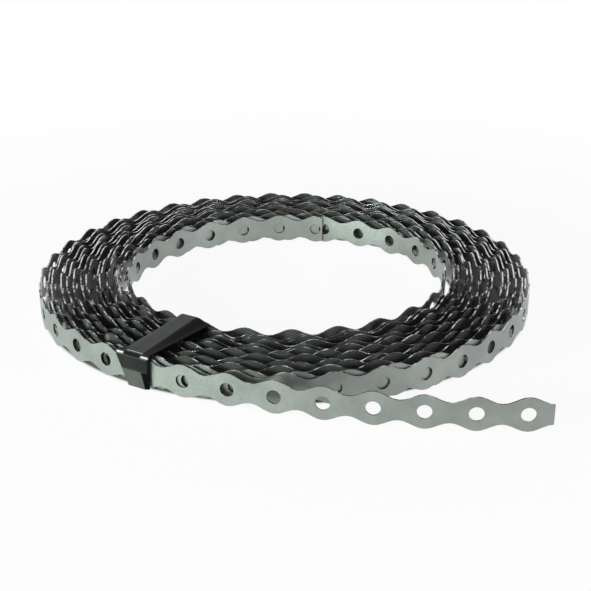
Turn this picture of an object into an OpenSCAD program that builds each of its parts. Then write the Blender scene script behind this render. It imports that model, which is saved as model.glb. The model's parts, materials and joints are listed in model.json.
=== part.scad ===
// Roll of perforated steel strap lying flat, held by one clip, with its free end drawn out along the floor.
// Millimetres. The roll's axis is Z, the floor is z = 0, -Y is the front and +X is the free end's side.
// The strap is narrow between its holes, so both of its edges run in waves from lobe to neck.

/* [Strap] */
// Width over the lobes, where the holes are
strap_width = 17; // [10:0.5:30]
// Width at the necks, midway between two holes
neck_width = 10; // [6:0.5:25]
// Thickness of the sheet
strap_thick = 0.75; // [0.5:0.05:2]
// Diameter of the punched holes
hole_dia = 7; // [4:0.5:12]
// Distance from hole to hole along the strap
hole_pitch = 23; // [15:0.5:40]

/* [Roll] */
// Diameter over the outermost turn
roll_dia = 276; // [200:1:400]
// Diameter of the bore inside the innermost turn
bore_dia = 180; // [120:1:300]
// Number of turns from the bore to the outside
turns = 14; // [6:1:20]
// Direction of the strap's inner end, seen from above
inner_end_angle = 75.5; // [0:0.5:360]
// Distance from the strap's inner end to the middle of its first hole
inner_cut = 5.5; // [5:0.5:11]
// Holes on the innermost turn, from its end to the step out to the next turn
inner_holes = 24; // [20:1:26]
// Holes on the outermost turn, from the step out to the place where the strap leaves the roll
outer_holes = 36; // [30:1:37]

/* [Free end] */
// Direction of the place where the strap leaves the roll
leave_angle = -115.8; // [-180:0.1:0]
// Radius of the gentle curve of the free end
tail_radius = 390; // [200:5:900]
// Holes on the free end, which is cut off at a neck
tail_holes = 8; // [2:1:12]
// Distance from the place where the strap leaves the roll to the first neck on the free end
first_neck = 2.5; // [1:0.5:10]

/* [Clip] */
// Direction of the clip that holds the turns together
clip_angle = -121; // [-180:0.5:0]
// Width of the clip along the turns
clip_width = 18.5; // [8:0.5:30]
// Thickness of the clip's sheet
clip_thick = 1; // [0.5:0.1:2]
// Inside radius of the clip's bends
clip_bend = 1; // [0.5:0.5:3]
// Height at which the clip's outer leg ends above the floor
clip_leg_end = 1; // [0.5:0.5:6]
// Height of the clip's inner end above the turns
clip_lift = 2.5; // [0.5:0.5:6]
// Gap between the clip and the turns beside it
clip_gap = 0.2; // [0.1:0.1:1]

/* [Hidden] */
$fn = 96;

// the turns stand side by side from the bore to the outside
inner_radius = (bore_dia + strap_thick) / 2;
outer_radius = (roll_dia - strap_thick) / 2;
turn_step = (outer_radius - inner_radius) / (turns - 1);

// between the turns, below the edges that show, the turned solid is joined by webs
web_margin = 0.2;
web_sheet = 1;
web_low = (strap_width - neck_width) / 2 + web_margin;
web_high = strap_width - web_low;

// each wave of an edge is drawn in this odd number of straight pieces, so that a cut at a neck meets no corner,
// and a short flat is left on each lobe
wave_steps = 9;
lobe_flat = 0.6;
lobe_rise = 0.03;
cut_margin = 0.5;

// each bend of the clip is drawn in this many straight pieces
bend_steps = 8;

// a step from one turn to the next starts and ends inside the walls that it joins
step_share = 0.9;
step_root = 1.5;
step_thick = 0.8 * strap_thick;
step_height = neck_width - web_margin;

function turn_radius(i) = inner_radius + i * turn_step;
function arc_degrees(length, radius) = length / radius * 180 / PI;
function pitch_angle(radius) = arc_degrees(hole_pitch, radius);
function polar(radius, angle) = radius * [cos(angle), sin(angle)];

// the innermost and outermost turns stop short of a full circle, where the strap steps to the next turn
inner_length = (inner_holes - 0.5) * hole_pitch + inner_cut;
inner_sweep = arc_degrees(inner_length, inner_radius);
outer_sweep = outer_holes * pitch_angle(outer_radius) - arc_degrees(first_neck, outer_radius);
inner_stop = inner_end_angle + inner_sweep;
outer_start = leave_angle - outer_sweep;

// half the strap's width at a distance x along it from the middle of a neck
function half_width(x) =
    (strap_width + neck_width) / 4 - (strap_width - neck_width) / 4 * cos(360 * x / hole_pitch);

// What is cut away above one neck, from lobe to lobe, seen along the sheet's normal
module wave_outline() {
    end = hole_pitch / 2 - lobe_flat / 2;
    top = strap_width / 2 + cut_margin;
    wave = [for (i = [1 : wave_steps - 1])
        let (x = hole_pitch * (i / wave_steps - 0.5)) [x, half_width(x)]];
    polygon(concat(
        [[-end, top], [-end, strap_width / 2 + lobe_rise]],
        wave,
        [[end, strap_width / 2 + lobe_rise], [end, top]]
    ));
}

// Cutter for both edges of the strap at a neck, for a strap that is bent to a radius
module neck_cut(radius) {
    sag = radius - sqrt(radius * radius - hole_pitch * hole_pitch / 4);
    depth = sag + strap_thick + 2 * cut_margin;
    translate([radius + strap_thick / 2 + cut_margin, 0, strap_width / 2])
        for (side = [0, 1])
            mirror([0, 0, side])
                rotate([0, -90, 0])
                    rotate([0, 0, 90])
                        linear_extrude(depth) wave_outline();
}

module hole_cut(radius) {
    translate([radius - strap_thick / 2 - cut_margin, 0, strap_width / 2])
        rotate([0, 90, 0])
            cylinder(d = hole_dia, h = strap_thick + 2 * cut_margin);
}

// Length of sheet standing on edge and bent to a radius, before it is punched, from the X axis on
module bent_sheet(radius, length) {
    rotate_extrude(angle = arc_degrees(length, radius))
        translate([radius - strap_thick / 2, 0])
            square([strap_thick, strap_width]);
}

// All that is punched out of such a sheet after the neck at its start: its holes, and the waves of its edges
module punch(radius, holes, skipped = 0) {
    step = pitch_angle(radius);
    for (i = [0 : holes - 1])
        rotate([0, 0, (i + 0.5) * step]) hole_cut(radius);
    for (i = [skipped : holes])
        rotate([0, 0, i * step]) neck_cut(radius);
}

// Innermost turn, from the strap's inner end to the step out to the next turn
module innermost_turn() {
    rotate([0, 0, inner_end_angle])
        difference() {
            bent_sheet(inner_radius, inner_length);
            rotate([0, 0, arc_degrees(inner_cut - hole_pitch / 2, inner_radius)]) punch(inner_radius, inner_holes);
        }
}

// Outermost turn and the free end, drawn from the place where the strap leaves the roll.
// They share the neck just after that place.
module outermost_turn() {
    tail_middle = [outer_radius - tail_radius, 0, 0];
    rotate([0, 0, leave_angle])
        difference() {
            union() {
                mirror([0, 1, 0]) bent_sheet(outer_radius, outer_holes * hole_pitch - first_neck);
                translate(tail_middle) bent_sheet(tail_radius, tail_holes * hole_pitch + first_neck);
            }
            rotate([0, 0, arc_degrees(first_neck, outer_radius)])
                mirror([0, 1, 0]) punch(outer_radius, outer_holes);
            translate(tail_middle)
                rotate([0, 0, arc_degrees(first_neck, tail_radius)])
                    punch(tail_radius, tail_holes, skipped = 1);
        }
}

// Turned solid of the turns between the innermost and the outermost, with the webs that join them all
module wound_turns() {
    rotate_extrude() {
        for (i = [1 : turns - 2])
            translate([turn_radius(i) - strap_thick / 2, 0]) square([strap_thick, strap_width]);
        translate([turn_radius(1), web_low])
            square([turn_radius(turns - 2) - turn_radius(1), web_high - web_low]);
        for (i = [0, turns - 2])
            for (z = [web_low, web_high - web_sheet])
                translate([turn_radius(i), z]) square([turn_step, web_sheet]);
    }
}

// Straight step, at the height of a neck, from inside the end of one turn into the turn beside it
module step_between(from_radius, from_angle, to_radius, to_angle) {
    way = sign(to_angle - from_angle);
    root_angle = from_angle - way * arc_degrees(step_root, from_radius);
    translate([0, 0, (strap_width - step_height) / 2])
        linear_extrude(step_height)
            polygon([
                polar(from_radius - step_thick / 2, root_angle),
                polar(from_radius + step_thick / 2, root_angle),
                polar(to_radius + step_thick / 2, to_angle),
                polar(to_radius - step_thick / 2, to_angle)
            ]);
}

module strap() {
    color("silver") {
        wound_turns();
        innermost_turn();
        step_between(inner_radius, inner_stop,
            turn_radius(1), inner_stop + step_share * (360 - inner_sweep));
        outermost_turn();
        step_between(outer_radius, outer_start,
            turn_radius(turns - 2), outer_start - step_share * (360 - outer_sweep));
    }
}

// Points of a bend of the clip's sheet, seen along the turns
function bend(middle, radius, from, to) =
    [for (i = [0 : bend_steps]) middle + polar(radius, from + (to - from) * i / bend_steps)];

// The clip's outer leg hangs outside the roll. Its plate rests on the outermost turn and rises towards the bore,
// and a short hook goes down between the innermost turn and the next, so the bore stays free.
module clip() {
    // the hook is flat, so it stands midway between the round turns at its middle and at its sides
    hook_ring = (turn_radius(0) + turn_radius(1)) / 2;
    hook_face = (hook_ring + sqrt(pow(hook_ring, 2) - pow(clip_width / 2, 2)) + clip_thick) / 2;
    hook_end = (strap_width + neck_width) / 2 + clip_gap;

    // the outer bend starts past the outermost turn, which the flat of the plate then touches
    leg_face = roll_dia / 2 + clip_gap + clip_bend;
    outer_x = leg_face - clip_bend;
    inner_x = hook_face + clip_bend;
    tilt = atan(clip_lift / (roll_dia / 2 - inner_x));
    outer_z = strap_width - clip_bend / cos(tilt) - clip_gap * tan(tilt);
    inner_z = outer_z + (outer_x - inner_x) * tan(tilt);
    outside = clip_bend + clip_thick;
    color("#222222")
        rotate([0, 0, clip_angle])
            rotate([90, 0, 0])
                linear_extrude(clip_width, center = true)
                    polygon(concat(
                        [[leg_face + clip_thick, clip_leg_end]],
                        bend([outer_x, outer_z], outside, 0, 90 - tilt),
                        bend([inner_x, inner_z], outside, 90 - tilt, 180),
                        [[hook_face - clip_thick, hook_end], [hook_face, hook_end]],
                        bend([inner_x, inner_z], clip_bend, 180, 90 - tilt),
                        bend([outer_x, outer_z], clip_bend, 90 - tilt, 0),
                        [[leg_face, clip_leg_end]]
                    ));
}

strap();
clip();
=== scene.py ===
# %% [markdown]
# A roll of perforated steel strap, dressed for its picture.
#
# Fixing strap is slit from galvanised sheet. A punch makes one round hole per stroke and nips both edges
# between the holes, so the strap has wide lobes at the holes and narrow necks between them. It is then
# wound on its edge into a flat roll, and a black clip keeps the turns from springing open.
#
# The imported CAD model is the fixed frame: it gives the real sizes, and every piece made here sits where the
# CAD piece sits. The frame comes first, so that each later cell can read its sizes from it.

import json

import bpy
import numpy as np
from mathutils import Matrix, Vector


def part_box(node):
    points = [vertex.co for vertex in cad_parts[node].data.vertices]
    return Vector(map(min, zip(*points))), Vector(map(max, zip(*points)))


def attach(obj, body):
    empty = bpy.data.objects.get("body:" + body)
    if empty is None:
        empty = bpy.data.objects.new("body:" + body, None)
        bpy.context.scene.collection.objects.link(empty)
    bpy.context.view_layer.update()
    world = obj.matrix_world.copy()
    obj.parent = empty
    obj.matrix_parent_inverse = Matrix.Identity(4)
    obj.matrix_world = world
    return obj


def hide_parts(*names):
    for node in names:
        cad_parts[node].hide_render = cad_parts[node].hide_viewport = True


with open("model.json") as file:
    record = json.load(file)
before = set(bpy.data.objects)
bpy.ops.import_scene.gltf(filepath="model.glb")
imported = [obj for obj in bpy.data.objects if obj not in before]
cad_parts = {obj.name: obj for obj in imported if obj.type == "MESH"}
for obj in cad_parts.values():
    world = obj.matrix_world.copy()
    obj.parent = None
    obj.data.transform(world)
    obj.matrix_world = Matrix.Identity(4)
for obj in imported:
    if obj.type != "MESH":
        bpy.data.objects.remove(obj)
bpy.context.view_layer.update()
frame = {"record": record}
MM = 0.001

# %% [markdown]
# The strap's sizes are read from the frame, so the picture can't drift away from the model. The box of the
# strap node gives its width, because the strap stands on edge, and the outside of the roll. The mounts give
# the bore and the punched holes. The neck's width and the pitch aren't in the frame, so they repeat the CAD
# source.

# %% Sizes of the strap and the roll, in metres
mounts = {mount["name"]: mount for mount in frame["record"]["mounts"]}
strap_low, strap_high = (np.array(corner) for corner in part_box("strap"))
STRAP_WIDTH = strap_high[2] - strap_low[2]
STRAP_THICK = mounts["free_end_hole_1"]["dims"]["length_mm"] * MM
HOLE_RADIUS = mounts["free_end_hole_1"]["dims"]["r_mm"] * MM
NECK_WIDTH = 10 * MM
PITCH = 23 * MM
INNER_RADIUS = mounts["roll_bore"]["dims"]["r_mm"] * MM + STRAP_THICK / 2
OUTER_RADIUS = -strap_low[0] - STRAP_THICK / 2
print(f"strap {STRAP_WIDTH / MM:.1f} mm wide, roll {OUTER_RADIUS / MM:.1f} mm to the middle of its last turn")

# %% [markdown]
# The camera stands where the picture was taken from. Its place was worked out by fitting a pinhole camera to
# the holes, and it looks down at the roll from the front with a fairly long lens. The picture is taken to be
# 591 pixels square, so the lens follows from the focal length in pixels.

# %% Camera
FRAME_PIXELS = 591
FOCAL_PIXELS = 1151.1
SENSOR_MM = 36
CAMERA_PLACE = (5.9 * MM, -613.6 * MM, 252.4 * MM)
CAMERA_TILT = np.radians(22.5)

camera_data = bpy.data.cameras.new("camera")
camera_data.sensor_width = SENSOR_MM
camera_data.lens = SENSOR_MM * FOCAL_PIXELS / FRAME_PIXELS
camera = bpy.data.objects.new("camera", camera_data)
camera.location = CAMERA_PLACE
camera.rotation_euler = (np.pi / 2 - CAMERA_TILT, 0, 0)
bpy.context.scene.collection.objects.link(camera)
bpy.context.scene.camera = camera
print(f"lens {camera_data.lens:.1f} mm")

# %% [markdown]
# Seen from above, the strap is one line. It starts at the bore and winds outwards as a spiral, and at the
# front it leaves the roll on a gentle curve, which is the free end. A hand-wound roll is not a perfect
# spiral: the gap from one turn to the next changes slowly as the strap goes round. So each turn is the turn
# before it plus the least gap, in which two turns just touch, and a share of the spare room that changes
# with the winding angle. In a few places there is no spare room: the inner end lies on the turn behind it,
# and the outer turns lie on each other where the strap leaves.

# %% Gaps between the turns
INNER_END = np.radians(75.0)
LEAVE = np.radians(-115.8)
WHOLE_TURNS = 14
STEPS_PER_TURN = 3600
LEAST_GAP = 0.95 * MM
INNER_SPRING = 1.5 * MM
TURN = 2 * np.pi
WINDING_END = (LEAVE - INNER_END) + WHOLE_TURNS * TURN
# each sine has a size, a rate and a start, and each place where turns touch has a winding angle and a spread
SINES = ((0.48, 0.41, 0.6), (0.28, 0.73, 4.0), (0.16, 2.3, 0.4))
TOUCHING = ((0.25, 0.9), (WINDING_END - TURN, 0.6), (WINDING_END - 2 * TURN + 0.8, 0.8))


def bell(angle, middle, spread):
    """Bell curve: one at its middle, and falling to nothing over about twice its spread."""
    return np.exp(-((angle - middle) / spread) ** 2)


def spare_share(winding):
    """Share of the spare room: one plus slow sines of the winding, less a bell where two turns touch."""
    sway = sum(size * np.sin(rate * winding + start) for size, rate, start in SINES)
    touching = sum(bell(winding, middle, spread) for middle, spread in TOUCHING)
    return (1 + sway) * (1 - touching)


def add_turns(first_turn, gaps):
    """Sums gaps from turn to turn: each point is the point one turn before it plus the gap there."""
    count = len(gaps)
    total = np.empty(count)
    total[:STEPS_PER_TURN] = first_turn
    for first in range(STEPS_PER_TURN, count, STEPS_PER_TURN):
        turn = slice(first, min(first + STEPS_PER_TURN, count))
        before = slice(turn.start - STEPS_PER_TURN, turn.stop - STEPS_PER_TURN)
        total[turn] = total[before] + gaps[before]
    return total


winding = np.arange(round(WINDING_END / TURN * STEPS_PER_TURN) + 1) * TURN / STEPS_PER_TURN
first_turn = winding[:STEPS_PER_TURN] / TURN
spare = spare_share(winding)
touching_rise = add_turns(LEAST_GAP * first_turn, np.full(len(winding), LEAST_GAP))
spare_rise = add_turns(spare[0] * first_turn, spare)
start_radius = INNER_RADIUS - INNER_SPRING
spare_room = OUTER_RADIUS - start_radius
rise = touching_rise + (spare_room - touching_rise[-1]) * spare_rise / spare_rise[-1]
print(f"rise of {rise[-1] / MM:.1f} mm from the first turn to the last")

# %% [markdown]
# The last turn of that spiral is now made round, and the turns inside it follow by the same share at each
# direction. The real roll isn't quite round either. Its outer turns bulge at the right of the front, where
# the strap sprang back when it was drawn out, and are pressed in by the clip. The inner turns bulge at the
# right of the back. These humps are bell curves of the direction, and they fade from one side of the roll
# to the other. The free end then follows an arc that starts in the direction of the last turn.

# %% Line of the strap, seen from above
# each bulge has a direction, a spread and a height
BULGES_OUTSIDE = (
    (np.radians(-64), np.radians(30), 2.6 * MM),
    (np.radians(-130), np.radians(12), -1.0 * MM),
)
BULGES_INSIDE = ((np.radians(25), np.radians(35), 2.4 * MM),)
TAIL_RADIUS = 390 * MM
TAIL_HOLES = 8
FIRST_NECK = 2.5 * MM
TAIL_LENGTH = TAIL_HOLES * PITCH + FIRST_NECK
TAIL_STEPS = 400


def towards(angle):
    """Unit vectors in the given directions: the cosine and the sine of each angle."""
    return np.stack([np.cos(angle), np.sin(angle)], axis=-1)


def bulge(angle, humps):
    """Sum of the humps at a direction, taken the short way round from each hump's middle."""
    away = [(angle - middle + np.pi) % TURN - np.pi for middle, _, _ in humps]
    return sum(height * bell(turn, 0, spread) for turn, (_, spread, height) in zip(away, humps))


round_last = spare_room - LEAST_GAP * (1 - np.arange(1, STEPS_PER_TURN + 1) / STEPS_PER_TURN)
share = round_last / rise[-STEPS_PER_TURN:]
rise = rise * share[(np.arange(len(rise)) - len(rise)) % STEPS_PER_TURN]
angle = INNER_END + winding
outside = rise / spare_room
bulges = outside ** 2 * bulge(angle, BULGES_OUTSIDE) + (1 - outside) ** 2 * bulge(angle, BULGES_INSIDE)
radius = start_radius + rise + bulges
roll_line = radius[:, None] * towards(angle)

tail_turn = np.linspace(0, TAIL_LENGTH / TAIL_RADIUS, TAIL_STEPS)[1:] + LEAVE
tail_middle = (radius[-1] - TAIL_RADIUS) * towards(LEAVE)
tail_line = tail_middle + TAIL_RADIUS * towards(tail_turn)

# the line is measured from the free end inwards, because the holes are counted from there
line = np.concatenate([roll_line, tail_line])[::-1]
along = np.concatenate([[0], np.cumsum(np.hypot(*np.diff(line, axis=0).T))])
least_gap = (radius[STEPS_PER_TURN:] - radius[:-STEPS_PER_TURN]).min()
print(f"strap {along[-1]:.3f} m long, least gap {least_gap / MM:.2f} mm")

# %% [markdown]
# One stretch of strap from neck to neck is called a link. It has a round hole in the middle, so a plain
# grid won't do: the grid goes round the hole. One parameter runs round the link, and the other from the rim
# of the hole out to the link's outline. All the links are computed at once as arrays, and the line above
# bends them. The strap's inner end was cut close after a hole, so the last link is shorter than the others.
# The holes of the wound turns are then spread a little, so that their number comes out whole. That
# lengthens the pitch by about one part in a hundred on the first and the last turn, and hardly at all
# between them.

# %% Grid of one flat link
EDGE_PARTS = 10
NECK_PARTS = 4
RINGS = np.array([0.0, 0.35, 1.0])
INNER_CUT = 4.5 * MM
LINKS = 425
END_SPREAD = 1.013


def half_width(x):
    """Half the strap's width at x from a hole's middle: its mean plus a cosine of one wave per pitch."""
    return (STRAP_WIDTH + NECK_WIDTH) / 4 + (STRAP_WIDTH - NECK_WIDTH) / 4 * np.cos(2 * np.pi * x / PITCH)


def link_outline(near, far):
    """Points round a link: along its top edge, down its far end, back along its bottom, up its near end."""
    x = np.linspace(near, far, EDGE_PARTS + 1)
    down = np.linspace(1, -1, NECK_PARTS + 1)
    top = np.stack([x[:-1], half_width(x[:-1])], axis=1)
    far_end = np.stack([np.full(NECK_PARTS, far), down[:-1] * half_width(far)], axis=1)
    bottom = np.stack([x[:0:-1], -half_width(x[:0:-1])], axis=1)
    near_end = np.stack([np.full(NECK_PARTS, near), -down[:-1] * half_width(near)], axis=1)
    return np.concatenate([top, far_end, bottom, near_end])


def link_grid(outline):
    """Rings of points from the rim of the hole, straight out, to the outline."""
    rim = HOLE_RADIUS * outline / np.linalg.norm(outline, axis=1, keepdims=True)
    return rim + RINGS[:, None, None] * (outline - rim)


whole_link = link_grid(link_outline(-PITCH / 2, PITCH / 2))
last_link = link_grid(link_outline(-PITCH / 2, INNER_CUT))
AROUND = whole_link.shape[1]
FLAT_LENGTH = (LINKS - 0.5) * PITCH + INNER_CUT
SPREAD = (along[-1] - TAIL_LENGTH) / (FLAT_LENGTH - TAIL_LENGTH)
EASE = 1 - END_SPREAD / SPREAD
print(LINKS, "holes, pitch of the wound turns times", round(SPREAD, 4), "on average")

# %% [markdown]
# The flat links are now laid along the line. A point's distance along the strap gives its place on the
# line, and the sheet's two faces lie half a thickness to either side. Faces, hole walls and cut edges are
# rows of the same grid, so their corners are shared, and equal corners of neighbouring links are joined at
# the end.

# %% Strap
JOIN_DISTANCE = 1e-7
STRAP_SHARP = np.radians(35)


def place_on_line(distance, across, up):
    """Bends flat points round the roll: the line's point, plus the offset across it, at the given height."""
    x = np.interp(distance, along, line[:, 0])
    y = np.interp(distance, along, line[:, 1])
    direction = np.gradient(line, along, axis=0)
    tx = np.interp(distance, along, direction[:, 0])
    ty = np.interp(distance, along, direction[:, 1])
    size = np.hypot(tx, ty)
    return np.stack([x - across * ty / size, y + across * tx / size, up], axis=-1)


def spread_holes(distance):
    """Distance along the line at which points of the flat strap come to lie.

    The free end keeps its length. The turns behind it are stretched evenly, less one wave of a sine over
    their whole length, so that they hold a whole number of links.
    """
    share = np.clip((distance - TAIL_LENGTH) / (FLAT_LENGTH - TAIL_LENGTH), 0, 1)
    stretched = TAIL_LENGTH + (along[-1] - TAIL_LENGTH) * (share - EASE * np.sin(TURN * share) / TURN)
    return np.where(distance < TAIL_LENGTH, distance, stretched)


def strap_points():
    """Corners of every link on both faces, as an array by link, face, ring and place round the link."""
    flat = np.repeat(whole_link[None], LINKS, axis=0)
    flat[-1] = last_link
    middle = (np.arange(LINKS) + 0.5) * PITCH
    distance = spread_holes(middle[:, None, None, None] + flat[:, None, :, :, 0])
    up = STRAP_WIDTH / 2 + flat[:, None, :, :, 1]
    across = np.array([-0.5, 0.5])[None, :, None, None] * STRAP_THICK
    return place_on_line(*np.broadcast_arrays(distance, across, up))


def strap_faces(shape):
    """Four-sided faces between neighbouring grid points: inner faces, outer faces and cut edges."""
    number = np.arange(np.prod(shape)).reshape(shape)
    after = np.roll(number, -1, axis=3)
    quads = np.stack([number[:, :, :-1], number[:, :, 1:], after[:, :, 1:], after[:, :, :-1]], axis=-1)
    walls = np.stack([number[:, 0], number[:, 1], after[:, 1], after[:, 0]], axis=-1)
    halfway = AROUND // 2
    far = np.arange(EDGE_PARTS, halfway)
    waves = np.r_[0:EDGE_PARTS, halfway:halfway + EDGE_PARTS]
    hole_walls = walls[:, 0]
    outline = walls[:, -1, :, ::-1]
    cuts = [hole_walls, outline[:, waves], outline[-1, far], outline[0, far + halfway]]
    rows = quads[:, 0, ..., ::-1], quads[:, 1], np.concatenate([cut.reshape(-1, 4) for cut in cuts])
    return [row.reshape(-1, 4) for row in rows]


def make_mesh(name, points, faces, materials, slots):
    """Puts points and faces into a mesh object, with equal points joined and one material slot per face."""
    _, first, joined = np.unique(
        np.round(points / JOIN_DISTANCE).astype(np.int64), axis=0, return_index=True, return_inverse=True)
    mesh = bpy.data.meshes.new(name)
    mesh.from_pydata(points[first], [], joined.ravel()[faces])
    for material in materials:
        mesh.materials.append(material)
    mesh.polygons.foreach_set("material_index", slots)
    mesh.polygons.foreach_set("use_smooth", np.ones(len(faces), dtype=bool))
    mesh.set_sharp_from_angle(angle=STRAP_SHARP)
    mesh.update()
    piece = bpy.data.objects.new(name, mesh)
    bpy.context.scene.collection.objects.link(piece)
    return piece


# %% [markdown]
# Every finish starts from what the real one is. Colours are written as they look on a screen, and one
# function turns them to the linear values that a shader works with. A second small function adds a node
# with its settings and its links, and a third clears the nodes that a new material or world comes with.

# %% Colour and node helpers


def linear(hex_colour):
    """Screen colour as hex digits to linear red, green, blue and alpha, by the sRGB curve."""
    screen = np.array([int(hex_colour[i:i + 2], 16) for i in (0, 2, 4)]) / 255
    value = np.where(screen <= 0.04045, screen / 12.92, ((screen + 0.055) / 1.055) ** 2.4)
    return (*value.tolist(), 1.0)


def add_node(owner, kind, links=(), **settings):
    """Adds a node, sets its fields or its inputs by name, and links (input, node, output) into it."""
    node = owner.node_tree.nodes.new(kind)
    for name, value in settings.items():
        if hasattr(node, name):
            setattr(node, name, value)
        else:
            node.inputs[name.replace("_", " ")].default_value = value
    for target, source, output in links:
        owner.node_tree.links.new(source.outputs[output], node.inputs[target])
    return node


def start_nodes(owner):
    """Clears the nodes of a new material or world, ready for its own."""
    owner.use_nodes = True
    owner.node_tree.nodes.clear()
    return owner


# %% [markdown]
# The strap is hot-dip galvanised sheet. Zinc is a pale, slightly green grey. It isn't a mirror: a skin of
# fine crystals and oxide scatters the light, so part of it looks matt and the reflections are soft. Slow
# cloudy changes of tone come from the zinc's thickness. The turns inside the roll get a darker copy of the
# zinc, which is painted shade for the shade between the turns. That copy is smooth, so they shine only where
# the eye looks along them. Both finishes are the same nodes with other values, so one function makes them.

# %% Galvanised steel
CLOUD_MM = 14
GRAIN_MM = 1.2
# most of a noise lies between these values
NOISE_LOW = 0.3
NOISE_HIGH = 0.7


def zinc(name, dark, pale, smooth, rough, metallic):
    """Zinc: cloudy tone between two colours, and a fine grain in its roughness and its relief."""
    material = start_nodes(bpy.data.materials.new(name))
    place = add_node(material, "ShaderNodeTexCoord")
    cloud = add_node(material, "ShaderNodeTexNoise", [("Vector", place, "Object")],
                     Scale=1 / (CLOUD_MM * MM), Detail=3.0, Roughness=0.55)
    grain = add_node(material, "ShaderNodeTexNoise", [("Vector", place, "Object")],
                     Scale=1 / (GRAIN_MM * MM), Detail=2.0, Roughness=0.6)
    tone = add_node(material, "ShaderNodeValToRGB", [("Fac", cloud, "Fac")])
    tone.color_ramp.elements[0].position = NOISE_LOW
    tone.color_ramp.elements[0].color = linear(dark)
    tone.color_ramp.elements[1].position = NOISE_HIGH
    tone.color_ramp.elements[1].color = linear(pale)
    gloss = add_node(material, "ShaderNodeMapRange", [("Value", grain, "Fac")],
                     From_Min=NOISE_LOW, From_Max=NOISE_HIGH, To_Min=smooth, To_Max=rough)
    relief = add_node(material, "ShaderNodeBump", [("Height", grain, "Fac")],
                      Strength=0.08, Distance=0.02 * MM)
    surface = add_node(
        material, "ShaderNodeBsdfPrincipled",
        [("Base Color", tone, "Color"), ("Roughness", gloss, "Result"), ("Normal", relief, "Normal")],
        Metallic=metallic)
    add_node(material, "ShaderNodeOutputMaterial", [("Surface", surface, "BSDF")])
    return material


def galvanised_steel():
    """Zinc on the faces that lie open, the lit copy beside the painted shade: pale, half matt, with soft
    reflections.
    """
    return zinc("galvanised steel", "848985", "949995", smooth=0.34, rough=0.45, metallic=0.9)


# painted shade: a darker copy of the zinc for the faces between the wound turns
def shaded_zinc():
    """Zinc of the wound turns inside the roll: darker, as painted shade, and smooth."""
    return zinc("galvanised steel in painted shade", "767676", "929292", smooth=0.1, rough=0.2, metallic=0.78)


# %% [markdown]
# The punch shears through the zinc, so the edges and the walls of the holes show bare steel. They are nearly
# black, partly because bare steel is darker than the faces and partly as painted shade, so that the roll's
# ends, where mostly these edges are seen, look almost black beside the free end. Lighter, smoother patches
# are partly a burnished band and partly painted glints, and on both sides of the roll, towards its back, more
# are painted.

# %% Sheared steel edge
BURNISH_GLINT_MM = 4
DARK_EDGE_LEVEL = 0.5
BURNISH_GLINT = 0.72
GLINT_SHARE = 0.18
GLINT_FROM = 0.6 * OUTER_RADIUS
GLINT_TO = 0.9 * OUTER_RADIUS
BACK_SHARE = 0.5


def sheared_steel():
    """Sheared steel: nearly black, partly bare steel and partly painted shade, with lighter and smoother
    patches that are partly burnish and partly painted glints.

    The distance to the side plus a share of the distance to the back says how many more painted glints the
    edges get.
    """
    material = start_nodes(bpy.data.materials.new("sheared steel edge"))
    place = add_node(material, "ShaderNodeTexCoord")
    patch = add_node(material, "ShaderNodeTexNoise", [("Vector", place, "Object")],
                     Scale=1 / (BURNISH_GLINT_MM * MM), Detail=2.0)
    axes = add_node(material, "ShaderNodeSeparateXYZ", [("Vector", place, "Object")])
    aside = add_node(material, "ShaderNodeMath", [(0, axes, "X")], operation="ABSOLUTE")
    behind = add_node(material, "ShaderNodeMath", [(0, axes, "Y"), (2, aside, "Value")],
                      operation="MULTIPLY_ADD")
    behind.inputs[1].default_value = BACK_SHARE
    # painted glints: more light patches towards the sides and the back of the roll
    painted_sheen = add_node(material, "ShaderNodeMapRange", [("Value", behind, "Value")],
                      From_Min=GLINT_FROM, From_Max=GLINT_TO, To_Min=0.0, To_Max=GLINT_SHARE)
    bright = add_node(material, "ShaderNodeMath", [(0, patch, "Fac"), (1, painted_sheen, "Result")], operation="ADD")
    tone = add_node(material, "ShaderNodeValToRGB", [("Fac", bright, "Value")])
    # the dark colour is partly painted shade, and the light one partly painted glints
    tone.color_ramp.elements[0].position = DARK_EDGE_LEVEL
    tone.color_ramp.elements[0].color = linear("262627")
    tone.color_ramp.elements[1].position = BURNISH_GLINT
    tone.color_ramp.elements[1].color = linear("d4d6d5")
    gloss = add_node(material, "ShaderNodeMapRange", [("Value", bright, "Value")],
                     From_Min=DARK_EDGE_LEVEL, From_Max=BURNISH_GLINT, To_Min=0.42, To_Max=0.22)
    surface = add_node(material, "ShaderNodeBsdfPrincipled",
                       [("Base Color", tone, "Color"), ("Roughness", gloss, "Result")], Metallic=0.9)
    add_node(material, "ShaderNodeOutputMaterial", [("Surface", surface, "BSDF")])
    return material


# %% [markdown]
# Each face of the sheet takes the plain zinc or the darker copy, link by link, and the darker copy is painted
# shade. The outside of the last turn and of the free end lie open and take the plain zinc, and so does the
# inside of the first turn. So does the outside of a stretch of the next turn in, which ends beside the place
# where the strap leaves. The other faces of the wound turns take the painted shade.

# %% Make the strap
LIT_TURNS_OUTSIDE = ((0.0, 1.0), (1.7, 2.0))
LIT_TURNS_INSIDE = 2.0
# slot 1 is the darker zinc, painted shade on the faces of the wound turns
GALVANISED, SHADED_INSIDE, SHEARED = 0, 1, 2


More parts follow.
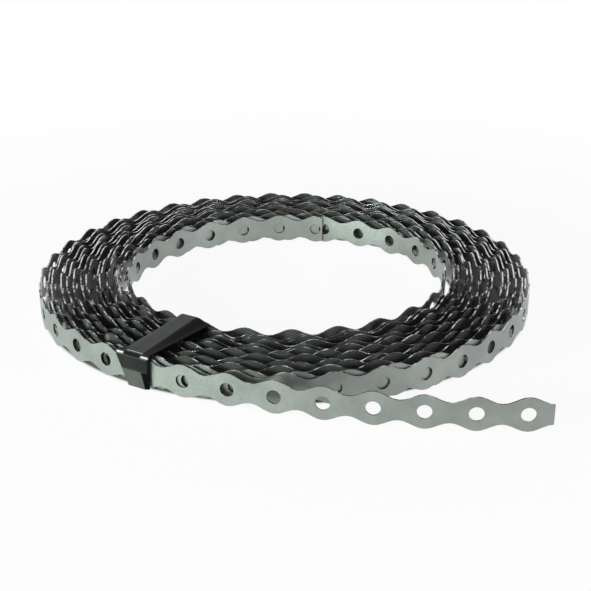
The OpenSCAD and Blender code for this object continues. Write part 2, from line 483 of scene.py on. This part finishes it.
def lit_or_shaded_faces():
    """Plain zinc or painted shade for the inner and the outer face of each link, by how far along the strap
    its hole is.
    """
    middle = (np.arange(LINKS) + 0.5) * PITCH
    from_leave = (middle - TAIL_LENGTH) / (TURN * OUTER_RADIUS)
    from_inside = (along[-1] - middle) / (TURN * INNER_RADIUS)
    lit_stretches = [(from_leave > first) & (from_leave < last) for first, last in LIT_TURNS_OUTSIDE]
    outside_lit = (from_leave < 0) | np.any(lit_stretches, axis=0)
    inside_lit = (from_leave < 0) | (from_inside < LIT_TURNS_INSIDE)
    return [np.where(is_lit, GALVANISED, SHADED_INSIDE) for is_lit in (inside_lit, outside_lit)]


points = strap_points()
inner_faces, outer_faces, cut_faces = strap_faces(points.shape[:-1])
sheet_lit_or_shaded = [np.repeat(by_link, len(inner_faces) // LINKS) for by_link in lit_or_shaded_faces()]
finish = np.concatenate([*sheet_lit_or_shaded, np.full(len(cut_faces), SHEARED)]).astype(np.int32)
faces = np.concatenate([inner_faces, outer_faces, cut_faces])
finishes = [galvanised_steel(), shaded_zinc(), sheared_steel()]
strap = make_mesh("wound_strap", points.reshape(-1, 3), faces, finishes, finish)
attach(strap, "root")
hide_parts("strap")
print("strap", len(strap.data.vertices), "points", 2 * len(strap.data.polygons), "triangles")

# %% [markdown]
# The clip is a strip of sheet, bent over the turns and dipped in black lacquer. Its outer leg hangs outside
# the roll and narrows to one side, its plate rises towards the bore, and a short hook goes down between the
# innermost turn and the next. The plate widens to the right as it rises, and it is crowned: its sides are
# pressed down until they rest on the turns. The lower half of the leg has its right side pressed towards
# the strap in the same way, and a groove across the outer bend stiffens it. It is a profile carried along a
# path: the path is the bent middle line of the sheet, and the profile is the sheet's cross section with its
# edges rounded by the lacquer. What is pressed is then added as a displacement.

# %% Path of the clip
CLIP_ANGLE = np.radians(-121)
CLIP_WIDTH = 18.5 * MM
CLIP_THICK = 1.0 * MM
CLIP_BEND = 1.0 * MM
CLIP_LEG_END = 1.0 * MM
CLIP_LIFT = 2.5 * MM
CLIP_GAP = 0.2 * MM
LEG_PARTS = 24
BEND_PARTS = 10
PLATE_PARTS = 30


def bend(middle, first, last):
    """Arc of the sheet's middle line round a bend's middle, with the way out of the sheet at each point."""
    turn = np.linspace(first, last, BEND_PARTS + 1)
    out = towards(turn)
    return middle + (CLIP_BEND + CLIP_THICK / 2) * out, out


def clip_path():
    """Middle line of the sheet, as (radius, height), from the foot of the outer leg to the end of the hook.

    It is the straight leg, the outer bend, the plate, the inner bend and the hook's end. The plate is
    straight, so its slope sets how far each bend turns, and its points lie closest near the outer bend.
    """
    # the hook stands as in the CAD model, midway between the first two of its evenly spaced turns
    leg = OUTER_RADIUS + STRAP_THICK / 2 + CLIP_GAP
    turn_step = (OUTER_RADIUS - INNER_RADIUS) / (WHOLE_TURNS - 1)
    ring = INNER_RADIUS + turn_step / 2
    hook = (ring + np.sqrt(ring ** 2 - (CLIP_WIDTH / 2) ** 2) + CLIP_THICK) / 2 + CLIP_BEND
    slope = np.arctan(CLIP_LIFT / (leg - CLIP_GAP - hook))
    leg_top = STRAP_WIDTH - CLIP_BEND / np.cos(slope) - CLIP_GAP * np.tan(slope)
    hook_top = leg_top + (leg - hook) * np.tan(slope)
    outer_bend, outer_out = bend([leg, leg_top], 0, np.pi / 2 - slope)
    inner_bend, inner_out = bend([hook, hook_top], np.pi / 2 - slope, np.pi)
    leg_heights = np.linspace(CLIP_LEG_END, leg_top, LEG_PARTS, endpoint=False)
    leg_line = np.stack([np.full(LEG_PARTS, outer_bend[0, 0]), leg_heights], axis=1)
    share = np.linspace(0, 1, PLATE_PARTS + 1)[1:-1, None] ** 2
    plate = outer_bend[-1] + share * (inner_bend[0] - outer_bend[-1])
    hook_end = [inner_bend[-1, 0], (STRAP_WIDTH + NECK_WIDTH) / 2 + CLIP_GAP]
    path = np.concatenate([leg_line, outer_bend, plate, inner_bend, [hook_end]])
    leg_out = np.tile(outer_out[0], (LEG_PARTS, 1))
    plate_out = np.tile(outer_out[-1], (PLATE_PARTS - 1, 1))
    return path, np.concatenate([leg_out, outer_out, plate_out, inner_out, inner_out[-1:]])


# %% [markdown]
# The sheet's cross section is drawn once, and its two sides are then moved to where the clip is wide or
# narrow. What the press did to the sheet is a depth at each point, made of smooth steps and one bell curve,
# because pressed steel has soft creases and no sharp ones.

# %% Profile of the clip and what is pressed into it
CLIP_EDGE = 0.35 * MM
EDGE_ROUND_PARTS = 4
ACROSS_PARTS = 36
PLATE_LEFT = -7.0 * MM
FLAT_SIDES = (-4.2 * MM, 4.4 * MM)
NARROWS_OVER = 4 * MM
FOOT_LEFT = -2.6 * MM
FLARE = 3.5 * MM
FACET_TOP = 9.5 * MM
FACET_DEPTH = 0.9 * MM
FACET_SIDES = (4.8 * MM, 7.6 * MM)
GROOVE_DEPTH = 0.6 * MM
LIP = 0.3 * MM
GROOVE_LENGTH = 0.9 * MM
GROOVE_HALF = 4.6 * MM


def clip_profile():
    """Cross section of the sheet, as (share of the half width, offset at an edge, through the sheet).

    The upper face goes from right to left: a quarter round, even steps across, and a quarter round. The lower
    face is the same turned by half a turn.
    """
    turn = np.linspace(0, np.pi / 2, EDGE_ROUND_PARTS + 1)
    across = np.linspace(1, -1, ACROSS_PARTS + 1)[1:-1]
    share = np.concatenate([np.ones(len(turn)), across, -np.ones(len(turn))])
    edge = CLIP_EDGE * np.concatenate([np.cos(turn), np.zeros(len(across)), -np.sin(turn)])
    rounding = CLIP_EDGE * (1 - np.concatenate([np.sin(turn), np.ones(len(across)), np.cos(turn)]))
    upper = np.stack([share, edge, CLIP_THICK / 2 - rounding])
    return np.concatenate([upper, -upper], axis=1)


def smooth_step(value, first, last):
    """Zero before first, one after last, and a smooth cubic between them."""
    share = np.clip((value - first) / (last - first), 0, 1)
    return share ** 2 * (3 - 2 * share)


def clip_lift(path):
    """Height of the sheet's underside above the turns, and nothing where it isn't above them."""
    return np.clip(path[:, 1] - CLIP_THICK / 2 - STRAP_WIDTH - CLIP_GAP / 2, 0, None)


def clip_sides(path):
    """Left and right edge of the sheet at each point.

    The leg narrows evenly from its shoulder to its foot, and the plate widens to the right as it rises.
    """
    on_leg = path[:, 0] > OUTER_RADIUS
    right = CLIP_WIDTH / 2 + FLARE * np.clip(clip_lift(path) / CLIP_LIFT, 0, 1)
    up = np.clip((path[:, 1] - CLIP_LEG_END) / (STRAP_WIDTH - 2 * CLIP_LEG_END), 0, 1)
    leg_left = FOOT_LEFT - (CLIP_WIDTH / 2 + FOOT_LEFT) * up
    past_bend = np.where(on_leg, 0, OUTER_RADIUS - path[:, 0])
    plate_left = -CLIP_WIDTH / 2 + (PLATE_LEFT + CLIP_WIDTH / 2) * smooth_step(past_bend, 0, NARROWS_OVER)
    return np.where(on_leg, leg_left, plate_left), right


def clip_length(path):
    """Length along the path at each point, and the length at which the outer bend ends."""
    length = np.concatenate([[0], np.cumsum(np.hypot(*np.diff(path, axis=0).T))])
    return length, length[LEG_PARTS + BEND_PARTS]


def pressed(path, side):
    """Depths of the crown, the leg's facet and the groove, by path point and place across the sheet."""
    lift = clip_lift(path)[:, None]
    left = smooth_step(-side, -FLAT_SIDES[0], -PLATE_LEFT)
    right = smooth_step(side, FLAT_SIDES[1], clip_sides(path)[1][:, None])
    crown = lift * (left + right)
    up = np.clip(path[:, 1] / FACET_TOP, 0, 1)[:, None]
    crease = FACET_SIDES[1] + (FACET_SIDES[0] - FACET_SIDES[1]) * up
    below = 1 - smooth_step(path[:, 1], FACET_TOP - CLIP_EDGE, FACET_TOP + CLIP_EDGE)[:, None]
    on_leg = (path[:, 0] > OUTER_RADIUS + CLIP_BEND)[:, None]
    facet = FACET_DEPTH * on_leg * below * smooth_step(side, crease, CLIP_WIDTH / 2)
    length, bend_end = clip_length(path)
    across = 1 - smooth_step(np.abs(side), GROOVE_HALF - CLIP_EDGE, GROOVE_HALF + CLIP_EDGE)
    groove = GROOVE_DEPTH * bell(length, bend_end - LIP, GROOVE_LENGTH)[:, None] * across
    return crown, facet, groove


# %% [markdown]
# The clip's mesh is a grid, path points one way and profile points the other. Each point also carries how
# much painted light it gets, so that it follows the form: a grey painted sheen on the flats, a lighter
# painted reflection on the lower leg, painted highlights of bright steel on the shoulders of the bend, and
# none, which leaves painted shade, where the sheet is pressed in.

# %% Mesh of the clip
PLATE_SHEEN = 0.34
LEG_SHEEN = 0.08
TONGUE_REFLECTION = 0.4
SHEEN_FADE = 1.1
FACET_START = 0.05
CLIP_SHARP = np.radians(50)


def clip_painted_light(path, facet, side):
    """How much painted light the lacquer gets, from nothing to one.

    It is a full painted highlight on the shoulders, which are the two ends of the outer bend beside the
    groove, and on a thin lip where the groove ends on the plate. It is a grey painted sheen on the flats,
    faint on the upper leg, a lighter painted reflection on the lower leg, and nothing, which is painted
    shade, where the sheet is pressed in and in the groove.
    """
    height = path[:, 1, None]
    on_leg = path[:, 0, None] > OUTER_RADIUS + CLIP_BEND
    tongue = 1 - smooth_step(height, FACET_TOP - 2 * CLIP_EDGE, FACET_TOP + 2 * CLIP_EDGE)
    leg = (LEG_SHEEN + (TONGUE_REFLECTION - LEG_SHEEN) * tongue) * (facet < FACET_START * FACET_DEPTH)
    from_left = smooth_step(side, PLATE_LEFT, FLAT_SIDES[0])
    flat = from_left * (1 - smooth_step(side, FLAT_SIDES[1], SHEEN_FADE * FLAT_SIDES[1]))
    length, bend_end = clip_length(path)
    beside = smooth_step(np.abs(side), GROOVE_HALF, GROOVE_HALF + 2 * CLIP_EDGE)
    shoulder = beside * bell(length, bend_end - CLIP_BEND, 2 * LIP)[:, None]
    lip = (1 - beside) * bell(length, bend_end + GROOVE_LENGTH + LIP, LIP)[:, None]
    in_groove = (1 - beside) * bell(length, bend_end - LIP, GROOVE_LENGTH)[:, None]
    painted_sheen = np.where(on_leg, leg, PLATE_SHEEN * flat) * (1 - in_groove)
    return np.maximum(painted_sheen, np.maximum(shoulder, lip))


def make_clip(material):
    """The profile carried along the path, closed at both feet, and turned to its place on the roll."""
    path, out = clip_path()
    share, edge, through = clip_profile()
    left, right = clip_sides(path)
    half_side = (right - left) / 2 - CLIP_EDGE
    side = ((left + right) / 2)[:, None] + half_side[:, None] * share + edge
    crown, facet, groove = pressed(path, side)
    groove = np.where(through > 0, groove, 0)
    radial = path[:, None, 0] + out[:, None, 0] * (through - groove) - facet
    up = path[:, None, 1] + out[:, None, 1] * (through - groove) - crown
    x = radial * np.cos(CLIP_ANGLE) - side * np.sin(CLIP_ANGLE)
    y = radial * np.sin(CLIP_ANGLE) + side * np.cos(CLIP_ANGLE)
    grid = np.stack([x, y, up], axis=-1)
    number = np.arange(side.size).reshape(side.shape)
    after = np.roll(number, -1, axis=1)
    walls = np.stack([number[:-1], number[1:], after[1:], after[:-1]], axis=-1).reshape(-1, 4)
    ends = [number[0].tolist(), number[-1, ::-1].tolist()]
    mesh = bpy.data.meshes.new("binding_clip")
    mesh.from_pydata(grid.reshape(-1, 3), [], walls.tolist() + ends)
    # painted light: how much grey sheen or bright highlight each point gets
    painted_light = mesh.attributes.new("painted_light", "FLOAT", "POINT")
    painted_light.data.foreach_set("value", clip_painted_light(path, facet, side).ravel())
    mesh.materials.append(material)
    mesh.polygons.foreach_set("use_smooth", np.ones(len(mesh.polygons), dtype=bool))
    mesh.set_sharp_from_angle(angle=CLIP_SHARP)
    piece = bpy.data.objects.new("binding_clip", mesh)
    bpy.context.scene.collection.objects.link(piece)
    return piece


# %% [markdown]
# Black lacquer on steel is a thin film over a dark base. Painted light, which the mesh carries as its own
# attribute, turns it unevenly to a dull grey sheen on the flats and to bright steel as painted highlights.
# The rest stays nearly black with soft highlights along the bends, and a slow change in roughness shows the
# handling.

# %% Black lacquered steel
HANDLING_MM = 9
ORANGE_PEEL_MM = 0.8
HANDLING_TONE = 0.16
SHEEN_GREY = 0.6


def black_lacquered_steel():
    """Black lacquer: nearly black, with painted light from a grey sheen to bright highlights, handling marks
    and fine orange peel.
    """
    material = start_nodes(bpy.data.materials.new("black lacquered steel"))
    place = add_node(material, "ShaderNodeTexCoord")
    handling = add_node(material, "ShaderNodeTexNoise", [("Vector", place, "Object")],
                        Scale=1 / (HANDLING_MM * MM), Detail=3.0)
    peel = add_node(material, "ShaderNodeTexNoise", [("Vector", place, "Object")],
                    Scale=1 / (ORANGE_PEEL_MM * MM), Detail=1.0)
    painted_light = add_node(material, "ShaderNodeAttribute", attribute_name="painted_light")
    uneven = add_node(material, "ShaderNodeMapRange", [("Value", handling, "Fac")],
                      From_Min=NOISE_LOW, From_Max=NOISE_HIGH,
                      To_Min=1 - HANDLING_TONE, To_Max=1 + HANDLING_TONE)
    painted_sheen = add_node(material, "ShaderNodeMath", [(0, painted_light, "Fac"), (1, uneven, "Result")],
                      operation="MULTIPLY")
    # the ramp is painted light: black, a grey painted sheen, and bright painted highlights
    tone = add_node(material, "ShaderNodeValToRGB", [("Fac", painted_sheen, "Value")])
    tone.color_ramp.elements[0].color = linear("050506")
    tone.color_ramp.elements[1].position = SHEEN_GREY
    tone.color_ramp.elements[1].color = linear("5c5c5b")
    tone.color_ramp.elements.new(1.0).color = linear("d2d4d3")
    gloss = add_node(material, "ShaderNodeMapRange", [("Value", handling, "Fac")],
                     From_Min=NOISE_LOW, From_Max=NOISE_HIGH, To_Min=0.26, To_Max=0.38)
    relief = add_node(material, "ShaderNodeBump", [("Height", peel, "Fac")],
                      Strength=0.05, Distance=0.02 * MM)
    surface = add_node(
        material, "ShaderNodeBsdfPrincipled",
        [("Base Color", tone, "Color"), ("Roughness", gloss, "Result"), ("Normal", relief, "Normal")],
        Specular_IOR_Level=0.05)
    add_node(material, "ShaderNodeOutputMaterial", [("Surface", surface, "BSDF")])
    return material


# %% [markdown]
# With its finish ready, the clip is made and stands for the CAD clip.

# %% Make the clip
clip = make_clip(black_lacquered_steel())
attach(clip, "root")
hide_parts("clip")
print("clip", len(clip.data.polygons), "faces")

# %% [markdown]
# The roll lies on a plain white floor. The floor looks white to the camera and in the metal's reflections,
# but a small share of it is an ordinary matt white, so that it still takes the roll's shadow. That share
# fades out further off, where no shadow falls. Under the turns the floor is a matt grey, because hardly any
# light comes down to it through the gaps, and only the gap next to the bore stays white.

# %% Floor
FLOOR_SIZE = 6.0
FLOOR_SHADOW = 0.08
SHADE_EDGE = 2 * MM
SHADE_INSET = 5 * MM
BETWEEN_TURNS = 0.05
SHADOW_REACH = (0.2, 0.5)


def seen_rays(owner):
    """Node that gives one for rays of the camera, of reflections and of clear materials, and else nothing."""
    path = add_node(owner, "ShaderNodeLightPath")
    seen = add_node(owner, "ShaderNodeMath", [(0, path, "Is Camera Ray"), (1, path, "Is Glossy Ray")],
                    operation="MAXIMUM")
    return add_node(owner, "ShaderNodeMath", [(0, seen, "Value"), (1, path, "Is Transmission Ray")],
                    operation="MAXIMUM")


def white_floor():
    """Matt white, mixed with plain white light on what the camera and the reflections see.

    The distance from the middle of the ring of turns says what lies under the roll. There the camera sees the
    matt alone, and reflections see a small share of the white.
    """
    material = start_nodes(bpy.data.materials.new("white floor"))
    place = add_node(material, "ShaderNodeTexCoord")
    distance = add_node(material, "ShaderNodeVectorMath", [(0, place, "Object")], operation="LENGTH")
    ring_middle = (OUTER_RADIUS + INNER_RADIUS + SHADE_INSET) / 2
    ring_half = (OUTER_RADIUS - INNER_RADIUS - SHADE_INSET) / 2
    from_middle = add_node(material, "ShaderNodeMath", [(0, distance, "Value")], operation="SUBTRACT")
    from_middle.inputs[1].default_value = ring_middle
    away = add_node(material, "ShaderNodeMath", [(0, from_middle, "Value")], operation="ABSOLUTE")
    open_share = add_node(material, "ShaderNodeMapRange", [("Value", away, "Value")],
                          From_Min=ring_half - SHADE_EDGE, From_Max=ring_half, To_Min=0.0, To_Max=1.0)
    white_share = add_node(material, "ShaderNodeMapRange", [("Value", distance, "Value")],
                           From_Min=SHADOW_REACH[0], From_Max=SHADOW_REACH[1],
                           To_Min=1 - FLOOR_SHADOW, To_Max=1.0)
    beside = add_node(material, "ShaderNodeMath", [(0, open_share, "Result"), (1, white_share, "Result")],
                      operation="MULTIPLY")
    ray = add_node(material, "ShaderNodeLightPath")
    bounced = add_node(material, "ShaderNodeMath", [(0, ray, "Is Glossy Ray")], operation="MULTIPLY")
    bounced.inputs[1].default_value = BETWEEN_TURNS
    lit_share = add_node(material, "ShaderNodeMath", [(0, beside, "Value"), (1, bounced, "Value")],
                         operation="MAXIMUM")
    seen = add_node(material, "ShaderNodeMath", [(0, seen_rays(material), "Value"), (1, lit_share, "Value")],
                    operation="MULTIPLY")
    shade = add_node(material, "ShaderNodeValToRGB", [("Fac", open_share, "Result")])
    shade.color_ramp.elements[0].color = linear("8c8c8c")
    shade.color_ramp.elements[1].color = linear("f8f8f8")
    matt = add_node(material, "ShaderNodeBsdfDiffuse", [("Color", shade, "Color")])
    light = add_node(material, "ShaderNodeEmission", Color=(1, 1, 1, 1), Strength=1.0)
    both = add_node(material, "ShaderNodeMixShader",
                    [("Fac", seen, "Value"), (1, matt, "BSDF"), (2, light, "Emission")])
    add_node(material, "ShaderNodeOutputMaterial", [("Surface", both, "Shader")])
    return material


half = FLOOR_SIZE / 2
floor_mesh = bpy.data.meshes.new("floor")
corners = [(-half, -half, 0), (half, -half, 0), (half, half, 0), (-half, half, 0)]
floor_mesh.from_pydata(corners, [], [(0, 1, 2, 3)])
floor_mesh.materials.append(white_floor())
floor = bpy.data.objects.new("floor", floor_mesh)
bpy.context.scene.collection.objects.link(floor)
print(f"floor {FLOOR_SIZE} m square")

# %% [markdown]
# The light is soft and low, because low lamps strike the upright faces of the strap and leave the roll's
# top dark. A wide lamp at the left of the camera, with a faint green tint, makes the left side of the strap
# pale, and a weak one beside it reaches round the roll's left end. A weaker lamp at the right lets that
# side fall to a middle grey, and a faint one above keeps the turns from going quite black. The world gives
# weak even light, and plain white to the camera and to reflections.

# %% Light
# each lamp has a name, a place, a width and a height in metres, a power in watts and a colour
LAMPS = (
    ("key", (-1.16, -0.9, 0.24), (0.7, 0.44), 33, "eafff1"),
    ("side", (-1.456, -0.205, 0.24), (0.5, 0.44), 8, "ffffff"),
    ("fill", (1.28, -0.74, 0.24), (0.6, 0.44), 13, "ffffff"),
    ("top", (0, 0.1, 1.6), (0.6, 0.6), 3, "ffffff"),
)
EVEN_LIGHT = 0.2


def add_lamp(name, place, size, power, colour):
    """Rectangular lamp that faces the middle of the roll."""
    data = bpy.data.lights.new(name, "AREA")
    data.shape = "RECTANGLE"
    data.size, data.size_y = size
    data.energy = power
    data.color = linear(colour)[:3]
    lamp = bpy.data.objects.new(name, data)
    lamp.location = place
    away = np.array(place) / np.linalg.norm(place)
    lamp.rotation_euler = (np.arccos(away[2]), 0, np.arctan2(away[1], away[0]) + np.pi / 2)
    bpy.context.scene.collection.objects.link(lamp)


def studio_world():
    """Weak even light on the pieces, and plain white behind them."""
    world = start_nodes(bpy.data.worlds.new("studio"))
    seen = seen_rays(world)
    even = add_node(world, "ShaderNodeBackground", Strength=EVEN_LIGHT)
    backdrop = add_node(world, "ShaderNodeBackground", Color=(1, 1, 1, 1))
    both = add_node(world, "ShaderNodeMixShader",
                    [("Fac", seen, "Value"), (1, even, "Background"), (2, backdrop, "Background")])
    add_node(world, "ShaderNodeOutputWorld", [("Surface", both, "Shader")])
    return world


for lamp in LAMPS:
    add_lamp(*lamp)
bpy.context.scene.world = studio_world()
bpy.context.scene.view_settings.view_transform = "Standard"
print(len(LAMPS), "lamps and a white backdrop")
